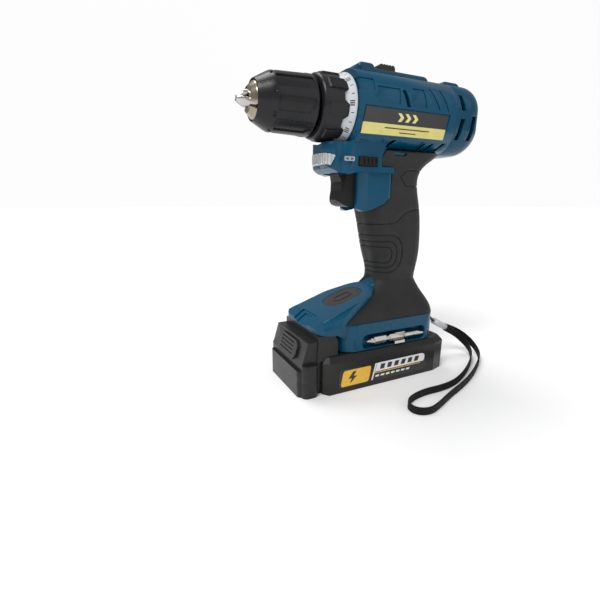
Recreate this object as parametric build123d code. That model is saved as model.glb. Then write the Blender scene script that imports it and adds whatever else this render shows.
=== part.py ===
"""A cordless drill driver with a keyless chuck, a torque collar and a slide-on battery.

The origin is the middle of the battery's underside. +X points to the rear of the drill, so the chuck
points to -X. +Y is the drill's right side, +Z is up, and the drill stands on Z = 0. Millimetres.
"""

from build123d import *
import math
import os

# --- driving dimensions -------------------------------------------------------------------------
AXIS_Z = 223.5          # height of the spindle's axis
WALL = 2.6              # thickness of the moulded walls
GAP = 0.35              # clearance between pieces that move past each other
HALF = 200.0            # half size of a cutting block, larger than the drill

HEAD_FRONT = -32.5      # front face of the motor housing
CAP_FRONT = 62.0        # where the rear cap starts
HEAD_REAR = 98.0        # rearmost point of the head
HEAD_WIDTH = 57.0
HEAD_HEIGHT = 57.0
HEAD_MID_Z = 222.0
HEAD_CORNER = 22.0

CHUCK_TIP = -117.0      # points of the closed jaws
CHUCK_REAR = -61.5      # rear rim of the chuck's sleeve
SLEEVE_RADIUS = 21.4
BODY_RADIUS = 16.6
JAW_RADIUS = 3.0
JAW_ANGLE = 12.0        # slope of each jaw to the spindle's axis
JAW_LENGTH = 28.0
SPINDLE_RADIUS = 6.0
GRIP_PANELS = 8         # recessed panels round the sleeve, and ribs round the collar

COLLAR_FRONT = -58.5
COLLAR_RADIUS = 22.9
RING_REAR = -33.0
RING_RADIUS = 25.8

GEAR_MODULE = 0.75
SUN_TEETH = 12
PLANET_TEETH = 15
RING_TEETH = SUN_TEETH + 2 * PLANET_TEETH
PLANETS = 3
ORBIT = GEAR_MODULE * (SUN_TEETH + PLANET_TEETH) / 2
CASE_RADIUS = 20.5
SHIFT_TRAVEL = 6.0

MOTOR_FRONT = 15.0
MOTOR_LENGTH = 52.0
MOTOR_RADIUS = 18.0
SHAFT_RADIUS = 1.6

TRIGGER_FRONT = -38.0
TRIGGER_REAR = -8.0
TRIGGER_WIDTH = 19.0

FOOT_HALF_WIDTH = 34.0
FOOT_FRONT = -67.0
FOOT_REAR = 57.0
FOOT_BOTTOM = 33.0
FOOT_SHOULDER = 53.0

BATTERY_HALF_WIDTH = 37.2
BATTERY_FRONT = -62.4
BATTERY_REAR = 69.5
BATTERY_NOSE = -80.5
SEAM_Z = 13.0
CELL_RADIUS = 9.2
CELL_LENGTH = 65.0
CELL_PITCH = 19.4
CELLS = 5

RECESS_FLOOR = -27.6    # floor of the bit's hollow in the left side of the foot
BIT_LENGTH = 60.0
BIT_HEX = 6.35          # across flats
BIT_MID = (10.0, -32.0, 39.6)

# height, front, rear, half width and corner radius of the grip's sections
GRIP_SECTIONS = [
    (193.5, -30.0, 61.0, 22.0, 16.0),
    (186.0, -26.0, 51.5, 19.5, 14.0),
    (177.0, -20.0, 43.5, 18.0, 13.0),
    (162.0, -15.0, 44.0, 17.2, 13.0),
    (146.0, -10.3, 48.0, 17.2, 13.0),
    (125.0, -5.0, 50.2, 17.8, 13.5),
    (105.0, 0.3, 50.2, 17.4, 13.5),
    (93.0, 3.0, 48.4, 16.6, 13.0),
    (86.0, 2.0, 47.5, 16.6, 13.0),
]
FLARE_SECTIONS = [
    (86.0, 2.0, 47.5, 16.6, 13.0),
    (77.0, -7.0, 51.5, 20.5, 14.0),
    (66.0, -30.0, 57.0, 27.5, 15.0),
    (FOOT_SHOULDER, -58.0, FOOT_REAR, FOOT_HALF_WIDTH, 14.0),
]
SKIN = 1.6              # thickness of the soft overmould

# corners of the wrist strap's route, from the ferrule round the far loop and back again
STRAP_OUT = [
    (93.5, -9.0, 29.8), (105.0, -10.8, 25.4), (115.5, -15.3, 18.8), (121.0, -24.5, 10.8),
    (117.5, -36.0, 4.9), (104.5, -46.5, 3.5), (86.0, -58.0, 3.3), (66.0, -68.5, 3.3),
    (46.0, -76.5, 3.3), (28.0, -82.5, 3.3), (10.0, -90.0, 3.3), (-4.0, -94.5, 3.3),
    (-14.0, -90.0, 3.3),
]
STRAP_BACK = [
    (-14.5, -80.5, 3.3), (-5.0, -73.5, 3.3), (12.0, -70.0, 3.3), (30.0, -71.0, 3.3),
    (47.0, -69.0, 3.3), (64.0, -62.5, 3.3), (83.0, -52.3, 3.3), (100.0, -41.0, 3.5),
    (111.0, -31.5, 5.8), (114.0, -23.0, 11.0), (109.0, -17.0, 18.2), (101.5, -13.0, 24.0),
    (93.0, -11.2, 28.6),
]
STRAP_RADIUS = 1.5
LANYARD_RADIUS = 1.3
LANYARD_ROUTE = [(54.5, -4.0, 50.0), (62.0, -4.7, 49.7), (70.0, -7.0, 45.4), (78.5, -8.6, 37.5)]
FERRULE_ENDS = ((78.5, -8.6, 37.5), (94.0, -10.0, 29.1))


# --- helpers ------------------------------------------------------------------------------------
def block(x0, x1, y0, y1, z0, z1):
    """A box between two corners."""
    return Pos((x0 + x1) / 2, (y0 + y1) / 2, (z0 + z1) / 2) * Box(x1 - x0, y1 - y0, z1 - z0)


def rod(x0, x1, radius, y=0.0, z=AXIS_Z):
    """A cylinder along X."""
    return Location((x0, y, z), (0, 90, 0)) * Cylinder(
        radius, x1 - x0, align=(Align.CENTER, Align.CENTER, Align.MIN))


def tube(x0, x1, outer, inner, y=0.0, z=AXIS_Z):
    """A hollow cylinder along X."""
    return rod(x0, x1, outer, y, z) - rod(x0 - 1, x1 + 1, inner, y, z)


def turned(*points):
    """A solid turned about the spindle's axis, from (x, radius) points."""
    plane = Plane(origin=(0, 0, AXIS_Z), x_dir=(1, 0, 0), z_dir=(0, -1, 0))
    face = plane * make_face(Polyline(*points, close=True))
    return revolve(face, Axis((0, 0, AXIS_Z), (1, 0, 0)), 360)


def side_prism(points, y0, y1):
    """An outline in the XZ plane, carried from y0 to y1."""
    face = Plane.XZ.offset(-y1) * make_face(Polyline(*points, close=True))
    return extrude(face, y1 - y0)


def side_face_prism(face, y0, y1):
    """A flat face drawn in X and Z, carried from y0 to y1."""
    return extrude(Plane.XZ.offset(-y1) * face, y1 - y0)


def plan_prism(face, z0, z1):
    """A flat face drawn in X and Y, carried from z0 to z1."""
    return extrude(Pos(0, 0, z0) * face, z1 - z0)


def section(z, front, rear, half_width, corner, inset=0.0):
    """One level section of the grip, drawn in by inset."""
    return Pos((front + rear) / 2, 0, z) * RectangleRounded(
        rear - front - 2 * inset, 2 * (half_width - inset), corner - inset)


def lofted(sections, inset=0.0):
    """A smooth body through level sections."""
    return loft([section(*values, inset=inset) for values in sections])


def turned_copies(shape, count, start=0.0):
    """The shape repeated round the spindle's axis, as a list."""
    axis = Axis((0, 0, AXIS_Z), (1, 0, 0))
    return [shape.rotate(axis, start + 360.0 * k / count) for k in range(count)]


def mirrored(shape):
    """The shape and its mirror image across the middle plane, as a list."""
    return [shape, mirror(shape, Plane.XZ)]


LEFT = block(-HALF, HALF, -HALF, 0, -HALF, 2 * HALF)
RIGHT = block(-HALF, HALF, 0, HALF, -HALF, 2 * HALF)


# --- gears --------------------------------------------------------------------------------------
def gear_outline(teeth, phase=0.0, inner=False):
    """A face with straight-sided short teeth, tooth middles at phase degrees from +Y."""
    pitch = GEAR_MODULE * teeth / 2
    tip = pitch + (0.55 if not inner else 0.75) * GEAR_MODULE
    root = pitch - (0.95 if not inner else 0.35) * GEAR_MODULE
    step = 2 * math.pi / teeth
    shares = [(-0.31, root), (-0.13, tip), (0.13, tip), (0.31, root)]
    if inner:
        shares = [(-0.36, root), (-0.21, tip), (0.21, tip), (0.36, root)]
    points = []
    for tooth in range(teeth):
        for share, radius in shares:
            angle = math.radians(phase) + step * (tooth + share)
            points.append((radius * math.cos(angle), radius * math.sin(angle)))
    return make_face(Polyline(*points, close=True))


def gear(x0, x1, teeth, phase=0.0, bore=0.0, y=0.0, z=AXIS_Z):
    """A toothed wheel about a line along X."""
    plane = Plane(origin=(x0, y, z), x_dir=(0, 1, 0), z_dir=(1, 0, 0))
    wheel = extrude(plane * gear_outline(teeth, phase), x1 - x0)
    return wheel - rod(x0 - 1, x1 + 1, bore, y, z) if bore else wheel


def ring_gear(x0, x1, outer):
    """A ring with teeth on its inside."""
    plane = Plane(origin=(x0 - 1, 0, AXIS_Z), x_dir=(0, 1, 0), z_dir=(1, 0, 0))
    hole = extrude(plane * gear_outline(RING_TEETH, 180.0 / RING_TEETH, inner=True), x1 - x0 + 2)
    return rod(x0, x1, outer) - hole


def planet_places():
    """Y and z of each planet wheel."""
    turns = [2 * math.pi * k / PLANETS for k in range(PLANETS)]
    return [(ORBIT * math.cos(turn), AXIS_Z + ORBIT * math.sin(turn)) for turn in turns]


# a ring tooth points at each planet, so a planet turns a gap outwards and a tooth to the sun
PLANET_PHASE = 180.0 / PLANET_TEETH
SUN_PHASE = 180.0 / SUN_TEETH


# --- motor housing, neck and grip ---------------------------------------------------------------
def head_body(inset=0.0):
    """The barrel round the motor and gearbox, with its rounded rear end."""
    face = RectangleRounded(HEAD_WIDTH - 2 * inset, HEAD_HEIGHT - 2 * inset, HEAD_CORNER - inset)
    plane = Plane(origin=(HEAD_FRONT + inset, 0, HEAD_MID_Z), x_dir=(0, 1, 0), z_dir=(1, 0, 0))
    barrel = extrude(plane * face, HEAD_REAR - HEAD_FRONT - 2 * inset)
    rear_edges = barrel.edges().group_by(Axis.X)[-1]
    return fillet(rear_edges, 19.0 - inset)


def top_ridge(x0, x1, top, half_width, round_off):
    """A raised block along the top of the head, rounded at both ends."""
    bump = block(x0, x1, -half_width, half_width, HEAD_MID_Z, top)
    ends = bump.edges().filter_by(Axis.Y).group_by(Axis.Z)[-1]
    bump = fillet(ends, round_off)
    long_edges = bump.edges().filter_by(Axis.X).group_by(Axis.Z)[-1]
    return fillet(long_edges, 3.0)


def neck():
    """The blue block between the head and the trigger, with the chin under the collar."""
    outline = [(-52, 198.3), (-52, 183.5), (-48.5, 179.3), (-42, 176.2), (-34, 175), (-26, 177),
               (7.5, 176.5), (7.5, 181), (-5, 181), (-5, 189), (-1, 196), (-1, 204), (-31, 204),
               (-33, 198.3)]
    plan = Pos(-26, 0) * RectangleRounded(62, 41, 12)
    chin = Pos(-33.5, 0) * RectangleRounded(37, 33, 11)
    wide = plan_prism(Pos(14, 0) * plan, 170, 205)
    narrow = plan_prism(chin, 170, 205)
    shape = side_prism(outline, -25, 25)
    return (shape & (wide + narrow)) - rod(-60, HEAD_FRONT, RING_RADIUS + 0.5)


def trigger_panel():
    """The blue cheeks behind the trigger."""
    outline = [(-22.5, 178), (7.2, 178), (7.2, 157.5), (1.2, 152.3), (-12, 147.6), (-18, 146.6),
               (-22.5, 148.5)]
    plan = Pos(-5, 0) * RectangleRounded(35, 35.6, 7)
    return side_prism(outline, -20, 20) & plan_prism(plan, 140, 180)


def foot_tongue(margin=0.0):
    """Plan outline of the blue top of the foot, wider by margin."""
    wide = FOOT_HALF_WIDTH + margin
    back = Line((-46, wide), (-10, 20 + margin))
    cap = ThreePointArc((-10, 20 + margin), (3.5 + margin, 0), (-10, -20 - margin))
    front = Polyline((-10, -20 - margin), (-46, -wide), (FOOT_FRONT - margin, -wide),
                     (FOOT_FRONT - margin, wide), (-46, wide))
    return make_face([back, cap] + front.edges())


def foot_top():
    """The sloping blue top of the foot with its steep front edge."""
    outline = [(FOOT_FRONT, 51.5), (FOOT_FRONT, 55.5), (-58.5, 61.5), (-10, 77.8), (5, 83), (5, 56),
               (-40, 45), (-50, 50)]
    slab = side_prism(outline, -FOOT_HALF_WIDTH, FOOT_HALF_WIDTH)
    long_edges = [e for e in slab.edges() if abs(e.center().Y) > 33 and abs(e.center().Z - 69.6) < 1.5]
    slab = fillet(long_edges, 9.0)
    plan = Pos(-27, 0) * RectangleRounded(80, 2 * FOOT_HALF_WIDTH, 11)
    tongue = plan_prism(foot_tongue(), 40, 90)
    step = side_prism([(-68.7, 52.7), (-57.0, 61.0), (-60, 67), (-72, 60)], -12.5, 12.5)
    deep = side_prism([(-68.7, 51.5), (-58.6, 58.6), (-60, 67), (-72, 60)], -6.5, 6.5)
    return (slab & plan_prism(plan, 40, 90) & tongue) - step - deep


def foot_skirt():
    """The straight-sided base of the foot, which holds the battery's rails."""
    plan = Pos((FOOT_REAR - 46) / 2, 0) * RectangleRounded(FOOT_REAR + 46, 2 * FOOT_HALF_WIDTH, 15)
    skirt = plan_prism(plan, FOOT_BOTTOM, FOOT_SHOULDER + 3)
    slope = side_prism([(-60, 30), (-43, 30), (-46.5, 46), (-60, 51)], -40, 40)
    return skirt - slope


def bit_recess():
    """The hollow in each side of the foot that holds a driver bit."""
    face = Pos(BIT_MID[0] - 1.5, BIT_MID[2] + 0.4) * RectangleRounded(68, 13, 5)
    return side_face_prism(face, -FOOT_HALF_WIDTH - 2, RECESS_FLOOR)


def rail_channel():
    """The way for the battery's deck and rails, open to the front and below."""
    deck = block(-75, 51, -25.5, 25.5, 36.6, 42.5)
    neck_gap = block(-75, 51, -22.6, 22.6, 30, 40)
    terminals = block(9.8, 50.2, -20.2, 20.2, 42, 48.2)
    return deck + neck_gap + terminals


def head_cavity():
    """The hollow inside the head, behind its front wall."""
    return head_body(WALL) & block(HEAD_FRONT + 3.2, 95, -30, 30, 190, 260)


def housing_cavity():
    """The room inside the two housing halves."""
    grip_room = lofted(GRIP_SECTIONS, SKIN + WALL)
    throat = block(-19, 30, -12, 12, 150, 200)
    wiring = block(8, 44, -11, 11, 60, 90)
    trigger_way = block(-60, 0, -TRIGGER_WIDTH / 2 - GAP, TRIGGER_WIDTH / 2 + GAP, 140, 176.4)
    return head_cavity() + grip_room + throat + wiring + trigger_way


def groove(points, width=0.8):
    """A narrow strip along corners in the XZ plane, through the whole grip."""
    return side_face_prism(trace(Polyline(*points), width), -40, 40)


def grip_grooves():
    """The nested finger grooves and the panel lines moulded into the grip."""
    cuts = []
    for rear, low, high in ((13.3, 101.8, 117.0), (18.8, 97.4, 121.6), (24.4, 92.9, 127.0)):
        width = rear + 30
        height = high - low
        corner = 0.42 * height
        ring = RectangleRounded(width, height, corner) - RectangleRounded(width - 2, height - 2, corner - 1)
        cuts.append(side_face_prism(Pos(rear - width / 2, (low + high) / 2) * ring, -40, 40))
    cuts.append(groove([(60, 150.5), (33, 147), (25, 144.6), (15.8, 137.2), (10.5, 136.1), (-30, 135.4)]))
    cuts.append(groove([(60, 167), (23.5, 167), (17.1, 174.1), (23.1, 179.4), (60, 179.4)]))
    return cuts


def vents():
    """Cooling slots through both sides of the head."""
    slots = [
        [(5.4, 236.0), (8.8, 236.0), (13.8, 224.4), (10.4, 224.4)],
        [(-3.0, 196.0), (0.6, 196.0), (6.2, 201.2), (2.6, 201.2)],
        [(30.5, 196.4), (33.6, 196.4), (37.2, 200.6), (34.1, 200.6)],
        [(39.0, 196.4), (42.1, 196.4), (45.7, 200.6), (42.6, 200.6)],
        [(49.5, 196.4), (52.6, 196.4), (57.4, 201.5), (54.3, 201.5)],
    ]
    return [side_prism(points, -40, 40) for points in slots]


def cap_vents():
    """Cooling slots of the rear cap: two on each side, one in each rear hollow."""
    slots = [
        [(64.0, 239.0), (68.2, 239.0), (72.4, 227.2), (67.6, 227.2)],
        [(67.6, 221.0), (72.4, 221.0), (68.4, 204.6), (64.2, 204.6)],
        [(80.6, 224.0), (85.8, 224.0), (82.6, 205.0), (77.8, 205.0)],
    ]
    return [side_prism(points, -40, 40) for points in slots]


def head_panels():
    """Shallow steps and seams in the sides of the head."""
    cuts = []
    for points in ([(-40, 232.5), (-20, 232.5), (-20, 241), (-40, 241)],
                   [(-17, 225.5), (3.5, 225.5), (3.5, 236.5), (-17, 236.5)],
                   [(16, 225.5), (30, 225.5), (27, 238.5), (16, 238.5)],
                   [(-28, 197.5), (-4, 197.5), (-7, 201.5), (-28, 201.5)],
                   [(6, 197.5), (30, 197.5), (34, 201.5), (9, 201.5)]):
        cuts.append(side_prism(points, -40, 40))
    for top_x, low_x in ((33.5, 43.5), (44.0, 53.0)):
        cuts.append(side_face_prism(trace(Polyline((top_x, 240), (low_x, 225)), 1.0), -40, 40))
    return cuts


def badge_hollow():
    """The slanted flat panel for the side badge."""
    points = [(-28.2, 222.6), (55.6, 222.6), (50.6, 202.4), (-32.4, 202.4)]
    return side_prism(points, -40, -HEAD_WIDTH / 2 + 0.9)


def housing_solid():
    """Both housing halves as one hollow body."""
    shape = head_body() - block(CAP_FRONT, HALF, -HALF, HALF, 100, 300)
    shape += top_ridge(-17, 48, 254.5, 9.5, 5.5)
    shape += top_ridge(-23.5, -8, 256.8, 11.0, 4.0)
    surface = head_body(0.7)
    for cut in head_panels():
        shape -= cut - surface
    shape += neck()
    shape += trigger_panel()
    shape += lofted(GRIP_SECTIONS, SKIN)
    shape += lofted(FLARE_SECTIONS, SKIN)
    shape += foot_top()
    shape += foot_skirt()
    shape -= housing_cavity()
    shape -= rail_channel()
    for recess in mirrored(bit_recess()):
        shape -= recess
    for cut in vents():
        shape -= cut
    for hollow in mirrored(badge_hollow()):
        shape -= hollow
    shape -= rod(HEAD_FRONT - 5, HEAD_FRONT + 10, 20.8)
    shape -= block(-3, 26, -6.6, 6.6, 246, 262)
    shape -= block(-27.3, -8.7, -30, 30, 180.9, 188.1)
    shape -= side_face_prism(Pos(-35.3, 186) * RectangleRounded(10.5, 4.2, 1.2), -22, -19.9)
    shape -= foot_pad_room()
    shape -= lens_room()
    start = LANYARD_ROUTE[0]
    shape -= rod(start[0], FOOT_REAR + 5, 1.7, start[1], start[2])
    for place in screw_places():
        shape -= screw_hole(*place)
    return shape


def rear_cap():
    """The cap behind the motor, with its slots and its top ridge."""
    shape = head_body() & block(CAP_FRONT + 0.1, HALF, -HALF, HALF, 100, 300)
    ridge = top_ridge(CAP_FRONT + 1.0, 85, 254.2, 8.5, 5.5)
    shape += ridge
    shape -= head_body(WALL)
    for cut in cap_vents():
        shape -= cut
    return shape


def grip_skin():
    """The soft overmould of the grip and the foot, both sides together."""
    outer = lofted(GRIP_SECTIONS) + lofted(FLARE_SECTIONS)
    inner = lofted(GRIP_SECTIONS, SKIN) + lofted(FLARE_SECTIONS, SKIN)
    skin = outer - inner
    shallow = lofted(GRIP_SECTIONS, 0.7) + lofted(FLARE_SECTIONS, 0.7)
    for cut in grip_grooves():
        skin -= cut - shallow
    skin -= plan_prism(foot_tongue(0.4), 30, 90)
    skin -= block(-HALF, HALF, -HALF, HALF, 0, FOOT_SHOULDER + 3.1)
    skin -= head_body()
    skin -= side_prism([(-60, 204), (-0.5, 204), (-0.5, 196), (-4.4, 189), (-4.4, 181.5), (8, 181.5),
                        (8, 157.2), (1.6, 151.6), (-12, 146.9), (-18, 146), (-60, 144)], -30, 30)
    skin -= side_face_prism(Pos(12.5, 191.3) * RectangleRounded(13, 2.4, 1.1), -40, 40)
    for place in screw_places():
        skin -= screw_hole(*place)
    return skin


# --- screws of the housing ----------------------------------------------------------------------
def screw_places():
    """X, Z and depth of the head of each housing screw, on the right side."""
    return [(-20, 240, 22.0), (52, 240, 22.0), (20, 183.5, 17.0), (30, 152, 15.2), (30, 100, 15.0),
            (-20, 63, 29.0), (50, 64, 24.0)]


def screw_hole(x, z, depth):
    """The counterbore and the pilot hole of one housing screw."""
    pilot = side_face_prism(Pos(x, z) * Circle(1.2), depth - 4.0, depth)
    return side_face_prism(Pos(x, z) * Circle(3.1), depth, 45) + pilot


def screw(x, z, depth):
    """A pan-head screw along Y with a star-shaped socket."""
    head = side_face_prism(Pos(x, z) * Circle(2.8), depth, depth + 2.0)
    shank = side_face_prism(Pos(x, z) * Circle(1.2), depth - 4.0, depth)
    socket = side_face_prism(Pos(x, z) * RegularPolygon(1.3, 6), depth + 1.0, depth + 3.0)
    return head + shank - socket


# --- lamp, switches and trigger -----------------------------------------------------------------
def lens_outline():
    """X and Z of the corners of the lamp window, seen from the side."""
    return [(-60, 193.4), (-44.6, 189.0), (-47.8, 180.8), (-60, 184.6)]


def lens_room():
    """The band cut out of the chin for the window, with the lamp's pocket behind it."""
    band = side_prism(lens_outline(), -30, 30)
    core = plan_prism(Pos(-31, 0) * RectangleRounded(37, 28, 9), 170, 205)
    return band - core + block(-50, -45.6, -2.8, 2.8, 184.3, 188.7)


def led_lens():
    """The clear window that wraps round the chin."""
    outer = plan_prism(Pos(-33.5, 0) * RectangleRounded(38, 34, 11.5), 170, 205)
    core = plan_prism(Pos(-31.3, 0) * RectangleRounded(37, 28, 9), 170, 205)
    inset = [(-60, 193.0), (-45.1, 188.7), (-48.1, 181.3), (-60, 185.0)]
    return side_prism(inset, -30, 30) & (outer - core)


def trigger():
    """The concave trigger with its stem."""
    face = [(TRIGGER_FRONT + 1.0, 175.9), (TRIGGER_FRONT + 3.4, 170), (TRIGGER_FRONT + 3.2, 163),
            (TRIGGER_FRONT + 1.2, 158), (TRIGGER_FRONT, 155.8), (TRIGGER_FRONT + 5, 151.8),
            (-28, 150.2), (-21, 150.6), (TRIGGER_REAR, 152.5), (TRIGGER_REAR, 175.9)]
    body = side_prism(face, -TRIGGER_WIDTH / 2, TRIGGER_WIDTH / 2)
    plan = Pos((TRIGGER_FRONT + TRIGGER_REAR + 8) / 2, 0) * RectangleRounded(
        TRIGGER_REAR - TRIGGER_FRONT + 8, TRIGGER_WIDTH, 7)
    body &= plan_prism(plan, 140, 180)
    return body - block(TRIGGER_REAR - 12, TRIGGER_REAR + 1, -7, 7, 155, 174)


def switch_module():
    """The variable speed switch in the top of the grip."""
    body = block(6, 30, -10, 10, 151, 176)
    stem = rod(-12, 6, 3.0, 0, 165)
    return body + stem


def direction_switch():
    """The bar pushed from side to side to reverse the motor."""
    bar = block(-26.8, -9.2, -22.3, 22.3, 181.4, 187.6)
    ends = bar.edges().filter_by(Axis.Z)
    bar = fillet(ends, 1.6)
    for k in range(4):
        x = -23.5 + 3.6 * k
        for side in (-1, 1):
            bar -= block(x, x + 1.2, side * 22.3 - 0.6, side * 22.3 + 0.6, 182.4, 186.6)
    return bar


def speed_selector():
    """The thumb slide on top of the head."""
    pad = block(-1.5, 14.5, -5.8, 5.8, 250.6, 259.0)
    pad = fillet(pad.edges().filter_by(Axis.Y).group_by(Axis.Z)[-1], 2.6)
    for k in range(4):
        x = 2.2 + 2.7 * k
        pad -= block(x, x + 1.1, -7, 7, 258.2, 260)
    tongue = block(-10.8, 8.0, -2.0, 2.0, AXIS_Z + CASE_RADIUS + 1.0, 247.2)
    return pad + tongue + block(3.0, 8.0, -2.0, 2.0, 247.2, 250.6)


# --- chuck --------------------------------------------------------------------------------------
def jaw_line(x):
    """Distance of a jaw's centre line from the spindle's axis at this x."""
    return 1.8 + (x - CHUCK_TIP) * math.tan(math.radians(JAW_ANGLE))


def jaw_rod(x, length, radius):
    """A cylinder along one jaw's sloping line, starting at x."""
    start = Location((x, 0, AXIS_Z + jaw_line(x)), (0, 90 - JAW_ANGLE, 0))
    return start * Cylinder(radius, length, align=(Align.CENTER, Align.CENTER, Align.MIN))


def jaw():
    """The top jaw: a sloping rod ground flat on its two inner faces, to meet the other two."""
    body = jaw_rod(CHUCK_TIP + 0.4, JAW_LENGTH, JAW_RADIUS)
    slot = math.radians(60)
    reach = 30.0
    wedge = [(0, 0.35), (reach * math.sin(slot), 0.35 + reach * math.cos(slot)), (reach, reach * 2),
             (-reach, reach * 2), (-reach * math.sin(slot), 0.35 + reach * math.cos(slot))]
    plane = Plane(origin=(CHUCK_TIP - 2, 0, AXIS_Z), x_dir=(0, 1, 0), z_dir=(1, 0, 0))
    body &= extrude(plane * make_face(Polyline(*wedge, close=True)), 60)
    nose = turned((CHUCK_TIP, 0), (CHUCK_TIP, 1.6), (CHUCK_TIP + 9, 7.5), (CHUCK_TIP + 60, 30),
                  (CHUCK_TIP + 60, 0))
    return body & nose


def chuck_body():
    """The steel core with its nose, its bit bore and the three sloping ways of the jaws."""
    shape = turned((-108.5, 0), (-108.5, 8.6), (-104.6, 12.7), (-97, 12.7), (-93, BODY_RADIUS),
                   (-64, BODY_RADIUS), (-64, 10), (-60.6, 10), (-60.6, 0))
    shape -= rod(-110, -82, 5.3)
    shape -= rod(-79, -60, SPINDLE_RADIUS)
    way = jaw_rod(CHUCK_TIP - 2, 56, JAW_RADIUS + 0.15)
    mouth = block(-112, -101, -1.6, 1.6, AXIS_Z, AXIS_Z + 14)
    for cut in turned_copies(way, 3) + turned_copies(mouth, 3):
        shape -= cut
    return shape


def chuck_sleeve():
    """The gripping sleeve with recessed panels and small hollows round its shoulder."""
    shape = turned((-105.0, 13.2), (-104.6, 14.0), (-95.4, 18.9), (-93.2, 19.9), (-90, 20.5),
                   (-66, SLEEVE_RADIUS), (-62.4, SLEEVE_RADIUS), (CHUCK_REAR, 20.6),
                   (CHUCK_REAR, 17.2), (-96.5, 17.2), (-99.5, 13.2))
    outline = [(-92, -4.8), (-68.6, -4.8), (-64.6, -0.4), (-64.6, 4.8), (-92, 4.8)]
    panel = extrude(Pos(0, 0, AXIS_Z + 12) * make_face(Polyline(*outline, close=True)), 12)
    floor = turned((-93, 0), (-93, 18.7), (-90, 19.6), (-62, 20.6), (-62, 0))
    panel -= floor
    for cut in turned_copies(panel, GRIP_PANELS, 12.0):
        shape -= cut
    hollow = Pos(-94.2, 0, AXIS_Z + 20.2) * Rot(0, 62, 0) * Cylinder(1.9, 2.4)
    for cut in turned_copies(hollow, GRIP_PANELS, 34.5):
        shape -= cut
    return shape


# --- clutch and gearbox -------------------------------------------------------------------------
def scale_ring():
    """The pale ring behind the collar that carries the torque scale."""
    return turned((-46, 19.4), (-46, 21.0), (-42, 21.0), (-34.6, 25.5), (-33.6, RING_RADIUS),
                  (RING_REAR, RING_RADIUS), (RING_REAR, 21.4), (-38, 19.4))


def torque_collar():
    """The black collar with its ribs and the waved rear edge that lies on the scale ring."""
    shape = turned((COLLAR_FRONT, 18.2), (COLLAR_FRONT, 21.8), (-57.4, COLLAR_RADIUS),
                   (-48, COLLAR_RADIUS + 0.3), (-37.2, COLLAR_RADIUS + 0.4), (-37.2, 20.4),
                   (-46, 20.4), (-46, 18.2))
    rib = block(-54, -39.4, -4.2, 4.2, AXIS_Z + 20, AXIS_Z + COLLAR_RADIUS + 1.2)
    rib = chamfer(rib.edges().filter_by(Axis.Y).group_by(Axis.Z)[-1], 0.9)
    step = 360.0 / GRIP_PANELS
    for piece in turned_copies(rib, GRIP_PANELS, 12.0):
        shape += piece
    notch = extrude(Pos(0, 0, AXIS_Z + 17) * make_face(Polyline(
        (-36, -6.4), (-38.4, -5.2), (-42.2, -2.6), (-42.2, 2.6), (-38.4, 5.2), (-36, 6.4), close=True)), 12)
    for cut in turned_copies(notch, GRIP_PANELS, 12.0 + step / 2):
        shape -= cut
    return shape - scale_ring()


def clutch_nut():
    """The threaded nut that presses the clutch spring."""
    return tube(-51.5, -48, 17.8, 12.4)


def clutch_spring():
    """The coil spring between the clutch nut and the thrust washer."""
    path = Location((-47.2, 0, AXIS_Z), (0, 90, 0)) * Helix(2.9, 11.6, 14.6)
    start = path.location_at(0)
    profile = start * Circle(0.8)
    return sweep(profile, path, is_frenet=True)


def thrust_washer():
    """The washer between the clutch spring and the gearbox."""
    return tube(-34.4, -33.4, 17.4, 12.4)


def gearbox_case():
    """The gearbox: a barrel round the gears and a slim nose round the spindle's bearing."""
    shape = turned((-33, 10.2), (-56.5, 10.2), (-56.5, 12.0), (-33, 12.0), (-33, CASE_RADIUS),
                   (13.5, CASE_RADIUS), (13.5, 18.0), (-29, 18.0), (-29, 7.0), (-33, 7.0))
    window = block(-11.6, -5.0 + SHIFT_TRAVEL, -2.6, 2.6, AXIS_Z + 15, AXIS_Z + 23)
    return shape - window


def shift_ring():
    """The second ring gear, which slides to change speed, with the post that moves it."""
    ring = ring_gear(-11.6, -2.6, 17.6)
    post = block(-10.8, -6.2, -2.0, 2.0, AXIS_Z + 17.0, AXIS_Z + CASE_RADIUS + 1.0)
    return ring + post


def carrier_one():
    """The first planet carrier, with the second stage's sun wheel."""
    plate = rod(-1.6, 2.0, 14.2)
    shape = plate + gear(-11.4, -1.6, SUN_TEETH, SUN_PHASE)
    for y, z in planet_places():
        shape += rod(2.0, 11.0, 1.45, y, z)
    return shape


def output_spindle():
    """The second carrier and the spindle that the chuck screws on."""
    shape = rod(-79, -17, SPINDLE_RADIUS) + rod(-17, -12.6, 14.2)
    for y, z in planet_places():
        shape += rod(-12.6, -3.4, 1.45, y, z)
    return shape


def planet(stage_front, stage_rear, k):
    """One planet wheel of a stage."""
    y, z = planet_places()[k]
    return gear(stage_front, stage_rear, PLANET_TEETH, PLANET_PHASE, 1.52, y, z)


# --- motor --------------------------------------------------------------------------------------
def motor_can():
    """The steel can of the motor, open at its rear."""
    end = MOTOR_FRONT + MOTOR_LENGTH
    shape = rod(MOTOR_FRONT, end, MOTOR_RADIUS) - rod(MOTOR_FRONT + 1.2, end + 1, MOTOR_RADIUS - 1.2)
    return shape - rod(MOTOR_FRONT - 1, MOTOR_FRONT + 3, 5.0)


def magnets():
    """The two arc magnets inside the motor's can."""
    arc = tube(MOTOR_FRONT + 8, MOTOR_FRONT + 44, MOTOR_RADIUS - 1.2, 12.4)
    side = block(0, 100, 5, 30, AXIS_Z - 14, AXIS_Z + 14)
    return mirrored(arc & side)


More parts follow.
